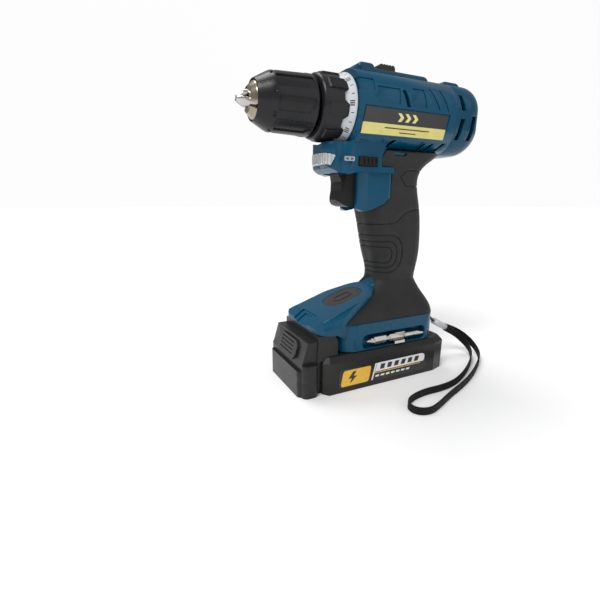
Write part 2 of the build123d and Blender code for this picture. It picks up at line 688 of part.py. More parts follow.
def armature():
    """The shaft with the slotted core and the commutator."""
    shape = rod(MOTOR_FRONT - 2, MOTOR_FRONT + MOTOR_LENGTH + 16, SHAFT_RADIUS)
    core = rod(MOTOR_FRONT + 10, MOTOR_FRONT + 40, 11.9)
    for cut in turned_copies(block(0, 100, -1.2, 1.2, AXIS_Z + 6, AXIS_Z + 20), 5):
        core -= cut
    return shape + core + rod(MOTOR_FRONT + 43, MOTOR_FRONT + 52, 5.0)


def fan():
    """The cooling fan on the rear end of the shaft."""
    hub = tube(76.5, 82, 4.5, SHAFT_RADIUS)
    disc = tube(76.5, 77.7, 16.0, SHAFT_RADIUS)
    blade = block(77.6, 82, -0.6, 0.6, AXIS_Z + 4, AXIS_Z + 15.6)
    shape = hub + disc
    for piece in turned_copies(blade, 9):
        shape += piece
    return shape


def brush_holder():
    """The plate that closes the motor and carries its two brushes."""
    rear = MOTOR_FRONT + MOTOR_LENGTH
    plate = tube(rear, rear + 4, MOTOR_RADIUS, SHAFT_RADIUS + 0.4)
    for inner, outer in ((-12, -6), (6, 12)):
        plate += block(rear - 8, rear, inner, outer, AXIS_Z - 3, AXIS_Z + 3)
    return plate


# --- foot: pad, bit, clips, terminals -----------------------------------------------------------
PAD_TILT = 18.6


def on_foot(face, low, high):
    """A face laid on the foot's sloping top, from low to high above it."""
    run, rise = math.cos(math.radians(PAD_TILT)), math.sin(math.radians(PAD_TILT))
    plane = Plane(origin=(-28, 0, 71.8), x_dir=(run, 0, rise), z_dir=(-rise, 0, run))
    return extrude(plane.offset(low) * face, high - low)


def foot_pad_room():
    """The room for the inlay in the top of the foot."""
    return on_foot(Pos(2.5, 0) * RectangleRounded(36, 27, 11), -2.0, 6)


def foot_pad():
    """The grey inlay on top of the foot, with a raised oval rim."""
    pad = on_foot(Pos(2.5, 0) * RectangleRounded(35.4, 26.4, 10.7), -2.0, -0.3)
    oval = RectangleRounded(18, 10, 4.9) - RectangleRounded(15.6, 7.6, 3.7)
    return pad + on_foot(Pos(2.5, 0) * oval, -0.3, 0.3)


def hexagon_bar(x0, x1):
    """A length of the hexagonal bit between two places along X."""
    plane = Plane(origin=(x0, BIT_MID[1], BIT_MID[2]), x_dir=(0, 1, 0), z_dir=(1, 0, 0))
    return extrude(plane * RegularPolygon(BIT_HEX / 2, 6, major_radius=False), x1 - x0)


def bit_cone(x0, x1, r0, r1):
    """A cone or cylinder of the bit along X."""
    plane = Plane(origin=(0, BIT_MID[1], BIT_MID[2]), x_dir=(1, 0, 0), z_dir=(0, -1, 0))
    face = plane * make_face(Polyline((x0, 0), (x0, r0), (x1, r1), (x1, 0), close=True))
    return revolve(face, Axis((0, BIT_MID[1], BIT_MID[2]), (1, 0, 0)), 360)


def driver_bit():
    """The double-ended bit: a cross tip to the front and a flat blade to the rear."""
    x0 = BIT_MID[0] - BIT_LENGTH / 2
    x1 = BIT_MID[0] + BIT_LENGTH / 2
    shape = hexagon_bar(x0 + 7, x0 + 19) + hexagon_bar(x0 + 23, x0 + 39)
    shape += bit_cone(x0 + 19, x0 + 23, 2.5, 2.5)
    shape += bit_cone(x0 + 39, x1 - 8, 2.5, 2.4)
    tip = bit_cone(x0, x0 + 7, 0.7, 2.9)
    for turn in (45, 135, 225, 315):
        cut = block(x0 - 1, x0 + 5, -1.0, 1.0, 0.9, 4.0)
        leaning = Pos(x0, 0, 0) * Rot(0, -14, 0) * Pos(-x0, 0, 0) * cut
        tip -= Pos(0, BIT_MID[1], BIT_MID[2]) * Rot(turn, 0, 0) * leaning
    blade = bit_cone(x1 - 8, x1, 2.4, 3.1)
    keep = side_prism([(x1 - 8, BIT_MID[2] - 2.4), (x1, BIT_MID[2] - 0.5), (x1, BIT_MID[2] + 0.5),
                       (x1 - 8, BIT_MID[2] + 2.4)], BIT_MID[1] - 4, BIT_MID[1] + 4)
    return shape + tip + (blade & keep)


def bit_clip():
    """The spring clip that holds the bit by its hexagon, open to the side."""
    x0, x1 = BIT_MID[0] - 2.0, BIT_MID[0] + 9.0
    reach = BIT_MID[1] - 2.6
    z = BIT_MID[2]
    half = BIT_HEX / 2 + 0.25
    back = block(x0, x1, RECESS_FLOOR - 0.6, RECESS_FLOOR, z - half - 0.7, z + half + 0.7)
    arms = block(x0, x1, reach, RECESS_FLOOR, z + half, z + half + 0.7)
    arms += block(x0, x1, reach, RECESS_FLOOR, z - half - 0.7, z - half)
    lip = block(x0, x1, reach - 0.7, reach, z - half - 2.4, z - half)
    return back + arms + lip


def terminal_block():
    """The contact carrier inside the foot, which the battery's slots slide over."""
    shape = block(10, 50, -20, 20, 43.0, 48)
    for y in (-14, -5, 5, 14):
        shape += block(14, 34, y - 0.4, y + 0.4, 39.0, 43)
    return shape


# --- battery ------------------------------------------------------------------------------------
def battery_outer(inset=0.0):
    """The battery's case: main block, deck with rails, and the taller latch end."""
    wide = BATTERY_HALF_WIDTH - inset
    front, rear = BATTERY_FRONT + inset, BATTERY_REAR - inset
    side = [(front, 5 - wide), (front + 4, -wide), (rear - 15.5, -wide), (rear - 3, 3.8 - wide),
            (rear, 8.5 - wide)]
    plan = Polyline(*side, *[(x, -y) for x, y in reversed(side)], close=True)
    main = plan_prism(make_face(plan), inset, 31.8 - inset)
    main = chamfer(main.edges().group_by(Axis.Z)[-1], 4.2)
    neck_width = 29.5 - inset
    throat = block(-72, BATTERY_FRONT + 4 + inset, -neck_width, neck_width, inset, 31 - inset)
    nose_plan = Pos((BATTERY_NOSE - 66) / 2, 0) * RectangleRounded(
        -66 - BATTERY_NOSE - 2 * inset, 69.5 - 2 * inset, 5.0 - inset)
    nose = plan_prism(nose_plan, inset, 46 - inset)
    slope = side_prism([(-90, 27 - inset), (BATTERY_NOSE + inset, 27 - inset), (-74.5 + inset, 47),
                        (-90, 47)], -50, 50)
    taper = side_prism([(-90, 28), (-60, 28), (-60, 60), (-90, 60)], 30.5 - inset, 50)
    nose = nose - slope - mirrored(taper)[0] - mirrored(taper)[1]
    ledge_plan = Pos(-78, 0) * RectangleRounded(10 - 2 * inset, 60 - 2 * inset, 4.0 - inset)
    ledge = plan_prism(ledge_plan, inset, 22.5 - inset)
    return main + throat + nose + ledge


def battery_deck():
    """The raised deck with the side rails that hang the battery in the foot."""
    stem = block(-60, 48, -22.1, 22.1, 29, 36.9)
    rails = block(-60, 48, -25.0, 25.0, 37.0, 42.0)
    shoulder = [(-67, 29), (-66, 50.8), (-50.5, 49.3), (-47.8, 44), (-47.8, 29)]
    shape = stem + rails + side_prism(shoulder, -31.5, 31.5)
    for y in (-14, -5, 5, 14):
        shape -= block(-2, 50, y - 1.2, y + 1.2, 36, 43)
    return shape


def cell_places():
    """X of the middle of each battery cell."""
    first = -CELL_PITCH * (CELLS - 1) / 2 - 1.0
    return [first + CELL_PITCH * k for k in range(CELLS)]


def cell_room():
    """The hollow inside the battery that holds its cells."""
    return block(-51, 50, -33.6, 33.6, 2.4, 26.6)


def battery_lower():
    """The lower shell of the battery."""
    shape = battery_outer() & block(-HALF, HALF, -HALF, HALF, -1, SEAM_Z)
    shape -= cell_room()
    for x, y in battery_screw_places():
        shape -= Pos(x, y, 0.9) * Cylinder(2.4, 3.0)
    return shape


def battery_upper():
    """The upper shell of the battery, with its deck and latch end."""
    shape = (battery_outer() + battery_deck()) & block(-HALF, HALF, -HALF, HALF, SEAM_Z + 0.05, 90)
    return shape - cell_room() - latch_room()


def latch_plane():
    """The sloping front of the latch end: x to the right side, z outwards."""
    lean = math.atan2(6.0, 19.5)
    return Plane(origin=(BATTERY_NOSE + 2.6, 0, 35.6), x_dir=(0, 1, 0),
                 z_dir=(-math.cos(lean), 0, math.sin(lean)))


def latch_room():
    """The pocket for the latch in the sloping end."""
    face = RectangleRounded(37, 17, 7)
    return extrude(latch_plane().offset(-6.5) * face, 12)


def battery_latch():
    """The ribbed release button."""
    button = extrude(latch_plane().offset(-2.6) * RectangleRounded(36.2, 16.2, 6.6), 4.6)
    for k in range(4):
        y = -5.4 + 3.2 * k
        slot = RectangleRounded(24, 1.1, 0.5)
        button -= extrude(latch_plane().offset(1.2) * (Pos(0, y) * slot), 2)
    return button


def battery_cells():
    """The row of cells, lying across the battery."""
    cell = Cylinder(CELL_RADIUS, CELL_LENGTH)
    return [Location((x, 0, 3.0 + CELL_RADIUS), (90, 0, 0)) * cell for x in cell_places()]


def battery_board():
    """The circuit board above the cells."""
    return block(-48, 46, -28, 28, 24.0, 25.4)


def battery_labels():
    """The thin printed label on each side of the battery."""
    face = Pos(-3.0, 12.8) * RectangleRounded(94, 17, 4)
    return mirrored(side_face_prism(face, -BATTERY_HALF_WIDTH - 0.25, -BATTERY_HALF_WIDTH))


def battery_screw_places():
    """X and Y of the screws that join the two battery shells."""
    return [(x, y) for x in (-55.5, 54.5) for y in (-26, 26)]


def battery_screws():
    """The screws sunk into the battery's underside."""
    screw_head = Cylinder(2.2, 1.6) - Pos(0, 0, -0.8) * Cylinder(1.0, 1.4)
    return [Pos(x, y, 1.6) * screw_head for x, y in battery_screw_places()]


def side_badges():
    """The thin slanted badge on each side of the head."""
    points = [(-27.2, 221.8), (54.2, 221.8), (49.6, 203.2), (-31.2, 203.2)]
    shape = side_prism(points, -HEAD_WIDTH / 2 + 0.3, -HEAD_WIDTH / 2 + 0.9)
    return mirrored(shape)


# --- cords --------------------------------------------------------------------------------------
def corner_radii(route):
    """Arc radius of each corner: 0.45 of the shorter run, over the tangent of half the turn."""
    radii = []
    for a, b, c in zip(route, route[1:], route[2:]):
        before = Vector(*b) - Vector(*a)
        after = Vector(*c) - Vector(*b)
        turn = math.radians(before.get_angle(after))
        radii.append(0.45 * min(before.length, after.length) / math.tan(turn / 2))
    return radii


def cord(route, radius, name):
    """A round cord of straight runs joined by tangent arcs."""
    radii = corner_radii(route)
    line = FilletPolyline(*route, radius=radii)
    wire = Wire(line.edges())
    start = Plane(origin=route[0], z_dir=wire.tangent_at(0))
    shape = sweep(start * Circle(radius), wire)
    section_volume = math.pi * radius ** 2 * wire.length
    print(name, "radii", [round(r, 1) for r in radii], "length", round(wire.length, 1),
          "volume share", round(shape.volume / section_volume, 4))
    return shape


def ferrule():
    """The clear sleeve that joins the lanyard to the strap."""
    start, end = (Vector(*p) for p in FERRULE_ENDS)
    plane = Plane(origin=start, z_dir=end - start)
    body = extrude(plane * Circle(3.2), (end - start).length)
    return body


# --- the nodes ----------------------------------------------------------------------------------
def make_nodes():
    """Every piece of the drill by its name."""
    housing = housing_solid()
    skin = grip_skin()
    top_jaw = jaw()
    nodes = {
        "housing_left": housing & LEFT,
        "housing_right": housing & RIGHT,
        "rear_cap": rear_cap(),
        "grip_left": skin & LEFT,
        "grip_right": skin & RIGHT,
        "led_lens": led_lens(),
        "led": block(-49.4, -45.9, -2.5, 2.5, 184.5, 188.5),
        "trigger": trigger(),
        "switch_module": switch_module(),
        "direction_switch": direction_switch(),
        "speed_selector": speed_selector(),
        "chuck_body": chuck_body(),
        "chuck_sleeve": chuck_sleeve(),
        "chuck_nut": tube(-84, -77, 17.15, BODY_RADIUS + 0.08),
        "scale_ring": scale_ring(),
        "torque_collar": torque_collar(),
        "clutch_nut": clutch_nut(),
        "clutch_spring": clutch_spring(),
        "thrust_washer": thrust_washer(),
        "gearbox_case": gearbox_case(),
        "spindle_bearing": tube(-55.5, -47.5, 10.2, SPINDLE_RADIUS + 0.05),
        "shift_ring": shift_ring(),
        "carrier_one": carrier_one(),
        "output_spindle": output_spindle(),
        "ring_gear_one": ring_gear(4.4, 11.6, 18.0),
        "motor_plate": tube(13.5, MOTOR_FRONT, CASE_RADIUS, 6.0),
        "motor_can": motor_can(),
        "motor_magnets": Compound(children=magnets()),
        "armature": armature(),
        "motor_pinion": gear(3.6, 13.0, SUN_TEETH, SUN_PHASE),
        "motor_fan": fan(),
        "brush_holder": brush_holder(),
        "foot_pad": foot_pad(),
        "screwdriver_bit": driver_bit(),
        "bit_clip": bit_clip(),
        "terminal_block": terminal_block(),
        "battery_lower": battery_lower(),
        "battery_upper": battery_upper(),
        "battery_latch": battery_latch(),
        "battery_cells": Compound(children=battery_cells()),
        "battery_board": battery_board(),
        "battery_labels": Compound(children=battery_labels()),
        "battery_screws": Compound(children=battery_screws()),
        "side_badges": Compound(children=side_badges()),
        "housing_screws": Compound(children=[screw(*place) for place in screw_places()]),
        "lanyard_cord": cord(LANYARD_ROUTE, LANYARD_RADIUS, "lanyard_cord"),
        "lanyard_ferrule": ferrule(),
        "wrist_strap": cord(STRAP_OUT + STRAP_BACK, STRAP_RADIUS, "wrist_strap"),
    }
    for k in range(3):
        nodes[f"chuck_jaw_{k + 1}"] = turned_copies(top_jaw, 3)[k]
        nodes[f"planet_a{k + 1}"] = planet(4.6, 11.0, k)
        nodes[f"planet_b{k + 1}"] = planet(-11.2, -3.4, k)
    return nodes


os.makedirs("parts", exist_ok=True)
for name, shape in make_nodes().items():
    export_step(shape, f"parts/{name}.step")
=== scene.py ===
"""The looks of the cordless drill: camera, wrist strap, trim, materials, floor and lights, in metres."""
import bpy
import bmesh
import math
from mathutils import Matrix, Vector


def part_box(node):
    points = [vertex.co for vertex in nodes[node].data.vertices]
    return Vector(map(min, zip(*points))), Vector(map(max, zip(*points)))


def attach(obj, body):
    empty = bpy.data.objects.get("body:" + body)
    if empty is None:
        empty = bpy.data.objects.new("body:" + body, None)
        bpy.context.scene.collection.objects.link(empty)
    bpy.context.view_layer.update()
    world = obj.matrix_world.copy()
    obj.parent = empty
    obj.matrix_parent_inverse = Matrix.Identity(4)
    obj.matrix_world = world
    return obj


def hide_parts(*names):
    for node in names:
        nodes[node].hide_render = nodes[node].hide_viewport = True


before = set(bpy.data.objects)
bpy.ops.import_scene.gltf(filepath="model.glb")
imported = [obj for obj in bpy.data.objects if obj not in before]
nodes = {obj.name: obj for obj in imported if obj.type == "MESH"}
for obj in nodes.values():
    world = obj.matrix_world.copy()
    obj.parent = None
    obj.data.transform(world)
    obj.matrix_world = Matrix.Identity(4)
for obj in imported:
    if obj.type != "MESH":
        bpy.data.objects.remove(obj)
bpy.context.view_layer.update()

MM = 0.001
AXIS_Z = 0.2235              # height of the spindle's axis

# --- camera -------------------------------------------------------------------------------------
CAMERA_PLACE = (-0.2000, -0.2765, 0.1553)
CAMERA_AZIMUTH = 0.4475      # turn to the right of +Y
CAMERA_DIP = 0.2598          # downward tilt
FOCAL_LENGTH = 22.47         # on a 36 mm sensor


def add_camera():
    """The camera where the photographer stood."""
    data = bpy.data.cameras.new("camera")
    data.sensor_width = 36
    data.lens = FOCAL_LENGTH
    data.clip_start = 0.01
    camera = bpy.data.objects.new("camera", data)
    camera.location = CAMERA_PLACE
    camera.rotation_euler = (math.pi / 2 - CAMERA_DIP, 0, -CAMERA_AZIMUTH)
    bpy.context.scene.collection.objects.link(camera)
    bpy.context.scene.camera = camera


add_camera()

# --- node helpers -------------------------------------------------------------------------------
class Tree:
    """A new material's node tree, with short calls to add and join nodes."""

    def __init__(self, name):
        self.material = bpy.data.materials.new(name)
        self.material.use_nodes = True
        self.nodes = self.material.node_tree.nodes
        self.links = self.material.node_tree.links
        self.nodes.clear()
        self.shader = self.add("ShaderNodeBsdfPrincipled")
        self.end = self.add("ShaderNodeOutputMaterial")
        self.join(self.shader.outputs["BSDF"], self.end.inputs["Surface"])
        self.place = self.add("ShaderNodeTexCoord").outputs["Object"]

    def add(self, kind, **values):
        """A new node, with its settings."""
        node = self.nodes.new(kind)
        for key, value in values.items():
            setattr(node, key, value)
        return node

    def join(self, start, end):
        self.links.new(start, end)

    def set(self, **values):
        """Sets sockets of the shader, with underscores for spaces in their names."""
        for key, value in values.items():
            self.shader.inputs[key.replace("_", " ")].default_value = value

    def noise(self, scale, detail=3.0, roughness=0.5, stretch=None):
        """Noise over the object, finer along the axes that are stretched more."""
        node = self.add("ShaderNodeTexNoise")
        node.inputs["Scale"].default_value = scale
        node.inputs["Detail"].default_value = detail
        node.inputs["Roughness"].default_value = roughness
        where = self.place
        if stretch:
            mapping = self.add("ShaderNodeMapping")
            mapping.inputs["Scale"].default_value = stretch
            self.join(self.place, mapping.inputs["Vector"])
            where = mapping.outputs["Vector"]
        self.join(where, node.inputs["Vector"])
        return node.outputs["Fac"]

    def ramp(self, source, *stops):
        """A colour ramp with (position, colour) stops."""
        node = self.add("ShaderNodeValToRGB")
        ends = node.color_ramp.elements
        while len(ends) < len(stops):
            ends.new(0.5)
        for end, (position, colour) in zip(ends, stops):
            end.position = position
            end.color = (*colour, 1)
        self.join(source, node.inputs["Fac"])
        return node.outputs["Color"]

    def spread(self, source, low, high, start=0.3, stop=0.7):
        """The source's middle range, mapped to low and high."""
        node = self.add("ShaderNodeMapRange")
        for name, value in (("From Min", start), ("From Max", stop), ("To Min", low), ("To Max", high)):
            node.inputs[name].default_value = value
        self.join(source, node.inputs["Value"])
        return node.outputs["Result"]

    def maths(self, operation, a, b=None):
        node = self.add("ShaderNodeMath", operation=operation)
        for socket, value in zip(node.inputs, (a, b)):
            if isinstance(value, (int, float)):
                socket.default_value = value
            elif value is not None:
                self.join(value, socket)
        return node.outputs["Value"]

    def mix(self, factor, a, b):
        """Colour a where the factor is 0, colour b where it is 1."""
        node = self.add("ShaderNodeMix", data_type="RGBA")
        self.join(factor, node.inputs["Factor"])
        for socket, value in ((node.inputs[6], a), (node.inputs[7], b)):
            if isinstance(value, tuple):
                socket.default_value = (*value, 1)
            else:
                self.join(value, socket)
        return node.outputs[2]

    def bump(self, height, distance, strength=1.0, under=None):
        node = self.add("ShaderNodeBump")
        node.inputs["Distance"].default_value = distance
        node.inputs["Strength"].default_value = strength
        self.join(height, node.inputs["Height"])
        if under:
            self.join(under, node.inputs["Normal"])
        return node.outputs["Normal"]

    def axes(self):
        node = self.add("ShaderNodeSeparateXYZ")
        self.join(self.place, node.inputs["Vector"])
        return node.outputs

    def finish(self, colour, roughness, normal):
        """Joins the three to the shader and gives the material."""
        self.join(colour, self.shader.inputs["Base Color"])
        self.join(roughness, self.shader.inputs["Roughness"])
        self.join(normal, self.shader.inputs["Normal"])
        return self.material


def shade(colour, factor):
    """A colour made lighter or darker."""
    return tuple(min(1.0, c * factor) for c in colour)


def worn_and_highlit_edges(tree, base, pale, amount):
    """The base colour, paler where an edge stands out: partly rubbed wear, partly a painted highlight
    along the convex edges.
    """
    point = tree.add("ShaderNodeNewGeometry").outputs["Pointiness"]
    edge = tree.spread(point, 0.0, amount, 0.53, 0.60)
    return tree.mix(edge, base, pale)


# --- materials ----------------------------------------------------------------------------------
def moulded(name, colour, rough, grain, coat=0.0):
    """Moulded plastic: an even colour with faint flow marks, a spark-eroded grain, and edges painted
    paler, partly as rubbed wear and partly as a painted highlight.
    """
    tree = Tree(name)
    flow = tree.noise(28, 4)
    base = tree.ramp(flow, (0.3, shade(colour, 0.88)), (0.7, shade(colour, 1.10)))
    # convex edges painted paler: partly rubbed wear, partly a painted highlight
    base = worn_and_highlit_edges(tree, base, shade(colour, 1.5), 0.4)
    roughness = tree.spread(tree.noise(90, 3), rough - 0.05, rough + 0.06)
    normal = tree.bump(tree.noise(2600, 2), 0.00006 * grain, 0.7)
    tree.set(Coat_Weight=coat, Coat_Roughness=0.18, Specular_IOR_Level=0.2)
    return tree.finish(base, roughness, normal)


def rubber(name, colour):
    """Soft overmould: matte, with a fine leathery grain."""
    tree = Tree(name)
    patches = tree.noise(35, 5, 0.6)
    base = tree.ramp(patches, (0.3, shade(colour, 0.82)), (0.7, shade(colour, 1.18)))
    # convex edges painted paler: partly rubbed wear, partly a painted highlight
    base = worn_and_highlit_edges(tree, base, shade(colour, 1.5), 0.5)
    cells = tree.add("ShaderNodeTexVoronoi", feature="SMOOTH_F1")
    cells.inputs["Scale"].default_value = 1400
    tree.join(tree.place, cells.inputs["Vector"])
    grain = tree.bump(cells.outputs["Distance"], 0.00006, 0.7)
    tree.set(Specular_IOR_Level=0.30, Sheen_Weight=0.05, Sheen_Roughness=0.5)
    roughness = tree.spread(tree.noise(120, 3), 0.50, 0.64)
    return tree.finish(base, roughness, grain)


def turned_steel(name, colour, rough, about_spindle=True):
    """Machined steel, with turning marks round the spindle or fine lines along X."""
    tree = Tree(name)
    tree.set(Metallic=1.0)
    patches = tree.noise(60, 4)
    base = tree.ramp(patches, (0.3, shade(colour, 0.82)), (0.72, shade(colour, 1.08)))
    stretch = (1, 0.04, 0.04) if about_spindle else (0.05, 1, 1)
    marks = tree.noise(1900, 3, 0.6, stretch)
    roughness = tree.spread(tree.noise(500, 3, 0.5, stretch), rough - 0.07, rough + 0.10)
    return tree.finish(base, roughness, tree.bump(marks, 0.00004, 0.6))


def banded_badge(name, edge_z, upper, lower, rough):
    """Printed film in two colours that meet at a height, under a clear lacquer."""
    tree = Tree(name)
    above = tree.maths("GREATER_THAN", tree.axes()["Z"], edge_z)
    colour = tree.mix(above, lower, upper)
    fine = tree.noise(160, 4)
    tint = tree.ramp(fine, (0.3, (0.90, 0.90, 0.90)), (0.7, (1.0, 1.0, 1.0)))
    mixed = tree.add("ShaderNodeMix", data_type="RGBA", blend_type="MULTIPLY")
    mixed.inputs["Factor"].default_value = 1.0
    tree.join(colour, mixed.inputs[6])
    tree.join(tint, mixed.inputs[7])
    roughness = tree.spread(tree.noise(70, 3), rough - 0.04, rough + 0.08)
    tree.set(Coat_Weight=0.25, Coat_Roughness=0.12)
    return tree.finish(mixed.outputs[2], roughness, tree.bump(tree.noise(900, 2), 0.00002, 0.5))


def printed_film(name, colour, rough):
    """Printed film in one ink, slightly uneven."""
    tree = Tree(name)
    base = tree.ramp(tree.noise(240, 4), (0.3, shade(colour, 0.92)), (0.7, shade(colour, 1.03)))
    roughness = tree.spread(tree.noise(150, 3), rough - 0.05, rough + 0.08)
    tree.set(Coat_Weight=0.2, Coat_Roughness=0.15)
    return tree.finish(base, roughness, tree.bump(tree.noise(900, 2), 0.00002, 0.5))


def clear_lens(name):
    """Moulded clear window, frosted by fine upright ribs on its back."""
    tree = Tree(name)
    wave = tree.add("ShaderNodeTexWave", wave_type="BANDS", bands_direction="Y")
    wave.inputs["Scale"].default_value = 150
    wave.inputs["Distortion"].default_value = 1.5
    tree.join(tree.place, wave.inputs["Vector"])
    base = tree.ramp(wave.outputs["Fac"], (0.2, (0.62, 0.65, 0.67)), (0.8, (0.93, 0.94, 0.95)))
    roughness = tree.spread(tree.noise(260, 3), 0.10, 0.22)
    tree.set(Transmission_Weight=0.45, IOR=1.49, Coat_Weight=0.5, Coat_Roughness=0.05)
    return tree.finish(base, roughness, tree.bump(wave.outputs["Fac"], 0.0002, 0.6))


def webbing(name, colour):
    """Woven narrow band: crossing threads under a soft sheen."""
    tree = Tree(name)
    uv = tree.add("ShaderNodeTexCoord").outputs["UV"]
    heights = []
    for direction, scale in (("X", 1.9), ("Y", 2.6)):
        wave = tree.add("ShaderNodeTexWave", wave_type="BANDS", bands_direction=direction)
        wave.inputs["Scale"].default_value = scale
        wave.inputs["Distortion"].default_value = 0.4
        tree.join(uv, wave.inputs["Vector"])
        heights.append(wave.outputs["Fac"])
    weave = tree.maths("MULTIPLY", heights[0], heights[1])
    base = tree.ramp(weave, (0.1, shade(colour, 0.45)), (0.8, shade(colour, 1.9)))
    roughness = tree.spread(tree.noise(400, 4), 0.72, 0.88)
    tree.set(Sheen_Weight=0.08, Sheen_Roughness=0.45, Specular_IOR_Level=0.2)
    fuzz = tree.bump(tree.noise(5000, 2), 0.00003, 0.6)
    return tree.finish(base, roughness, tree.bump(weave, 0.00025, 0.9, fuzz))


def twisted_cord(name, colour):
    """Braided thin cord."""
    tree = Tree(name)
    wave = tree.add("ShaderNodeTexWave", wave_type="BANDS", bands_direction="DIAGONAL")
    wave.inputs["Scale"].default_value = 420
    tree.join(tree.place, wave.inputs["Vector"])
    base = tree.ramp(wave.outputs["Fac"], (0.1, shade(colour, 0.5)), (0.9, shade(colour, 1.8)))
    roughness = tree.spread(tree.noise(700, 3), 0.70, 0.85)
    tree.set(Sheen_Weight=0.3, Sheen_Roughness=0.5)
    return tree.finish(base, roughness, tree.bump(wave.outputs["Fac"], 0.0002, 0.8))


def circuit(name):
    """Green board with copper tracks."""
    tree = Tree(name)
    brick = tree.add("ShaderNodeTexBrick")
    brick.inputs["Scale"].default_value = 180
    brick.inputs["Color1"].default_value = (0.02, 0.20, 0.08, 1)
    brick.inputs["Color2"].default_value = (0.03, 0.26, 0.10, 1)
    brick.inputs["Mortar"].default_value = (0.35, 0.22, 0.08, 1)
    tree.join(tree.place, brick.inputs["Vector"])
    roughness = tree.spread(tree.noise(300, 3), 0.25, 0.4)
    return tree.finish(brick.outputs["Color"], roughness, tree.bump(brick.outputs["Fac"], 0.0001, 0.5))


def wound_copper(name):
    """Enamelled wire and stacked plates of the armature."""
    tree = Tree(name)
    wave = tree.add("ShaderNodeTexWave", wave_type="BANDS", bands_direction="X")
    wave.inputs["Scale"].default_value = 500
    tree.join(tree.place, wave.inputs["Vector"])
    base = tree.ramp(wave.outputs["Fac"], (0.2, (0.25, 0.10, 0.04)), (0.8, (0.72, 0.34, 0.16)))
    tree.set(Metallic=0.9)
    roughness = tree.spread(tree.noise(200, 3), 0.25, 0.4)
    return tree.finish(base, roughness, tree.bump(wave.outputs["Fac"], 0.0002, 0.8))


BLUE = (0.0, 0.054, 0.107)
CHARCOAL = (0.016, 0.016, 0.0165)

looks = {
    "blue": moulded("blue_moulding", BLUE, 0.28, 0.7, 0.15),
    "grip": rubber("grip_overmould", CHARCOAL),
    "black": moulded("black_moulding", (0.010, 0.010, 0.011), 0.42, 1.3),
    "chuck": moulded("chuck_moulding", (0.016, 0.016, 0.018), 0.28, 0.8, 0.12),
    "case": moulded("battery_moulding", (0.019, 0.0185, 0.018), 0.30, 1.6, 0.15),
    "trigger": moulded("trigger_moulding", (0.011, 0.011, 0.011), 0.42, 1.0),
    "ring": moulded("ring_moulding", (0.60, 0.63, 0.66), 0.40, 0.6),
    "brown": moulded("selector_moulding", (0.045, 0.032, 0.024), 0.42, 1.0),
    "pad": moulded("pad_moulding", (0.040, 0.038, 0.036), 0.5, 1.6),
    "steel": turned_steel("turned_steel", (0.42, 0.36, 0.275), 0.20),
    "jaw_steel": turned_steel("jaw_steel", (0.62, 0.60, 0.57), 0.22),
    "bit_steel": turned_steel("bit_steel", (0.66, 0.63, 0.59), 0.18, False),
    "plain_steel": turned_steel("plain_steel", (0.46, 0.46, 0.46), 0.34, False),
    "black_steel": turned_steel("black_steel", (0.06, 0.06, 0.065), 0.38, False),
    "lens": clear_lens("clear_lens"),
    "lamp": printed_film("lamp_face", (0.9, 0.9, 0.8), 0.2),
    "copper": wound_copper("copper_winding"),
    "wrap": printed_film("cell_wrap", (0.08, 0.2, 0.45), 0.25),
    "board": circuit("circuit_board"),
    "badge": banded_badge("badge_film", 0.2112, (0.028, 0.028, 0.030), (0.74, 0.66, 0.22), 0.3),
    "label": printed_film("label_black", (0.008, 0.008, 0.008), 0.3),
    "label_yellow": printed_film("label_yellow", (0.86, 0.50, 0.035), 0.3),
    "label_white": printed_film("label_white", (0.86, 0.86, 0.86), 0.3),
    "badge_yellow": printed_film("badge_yellow", (0.80, 0.72, 0.26), 0.3),
    "ink": printed_film("ink_black", (0.02, 0.02, 0.02), 0.4),
    "silver": printed_film("plate_grey", (0.36, 0.38, 0.40), 0.35),
    "strap": webbing("strap_webbing", (0.003, 0.003, 0.003)),
    "thread": twisted_cord("lanyard_thread", (0.02, 0.02, 0.02)),
    "ferrule": clear_lens("ferrule_clear"),
}

NODE_LOOKS = {
    "blue": ["housing_left", "housing_right", "rear_cap"],
    "grip": ["grip_left", "grip_right"],
    "chuck": ["chuck_sleeve", "torque_collar"],
    "black": ["direction_switch", "switch_module", "gearbox_case", "clutch_nut", "motor_fan",
              "brush_holder", "terminal_block"],
    "case": ["battery_lower", "battery_upper", "battery_latch"],
    "trigger": ["trigger"],
    "ring": ["scale_ring"],
    "brown": ["speed_selector"],
    "pad": ["foot_pad"],
    "steel": ["chuck_body", "output_spindle"],
    "jaw_steel": ["chuck_jaw_1", "chuck_jaw_2", "chuck_jaw_3"],
    "bit_steel": ["screwdriver_bit", "bit_clip"],
    "plain_steel": ["clutch_spring", "thrust_washer", "spindle_bearing", "shift_ring", "carrier_one",
                    "ring_gear_one", "motor_plate", "motor_can", "motor_pinion", "chuck_nut",
                    "planet_a1", "planet_a2", "planet_a3", "planet_b1", "planet_b2", "planet_b3"],
    "black_steel": ["housing_screws", "battery_screws", "motor_magnets"],
    "lens": ["led_lens"],
    "lamp": ["led"],
    "copper": ["armature"],
    "wrap": ["battery_cells"],
    "board": ["battery_board"],
    "badge": ["side_badges"],
    "label": ["battery_labels"],
    "thread": ["lanyard_cord"],
    "ferrule": ["lanyard_ferrule"],
}
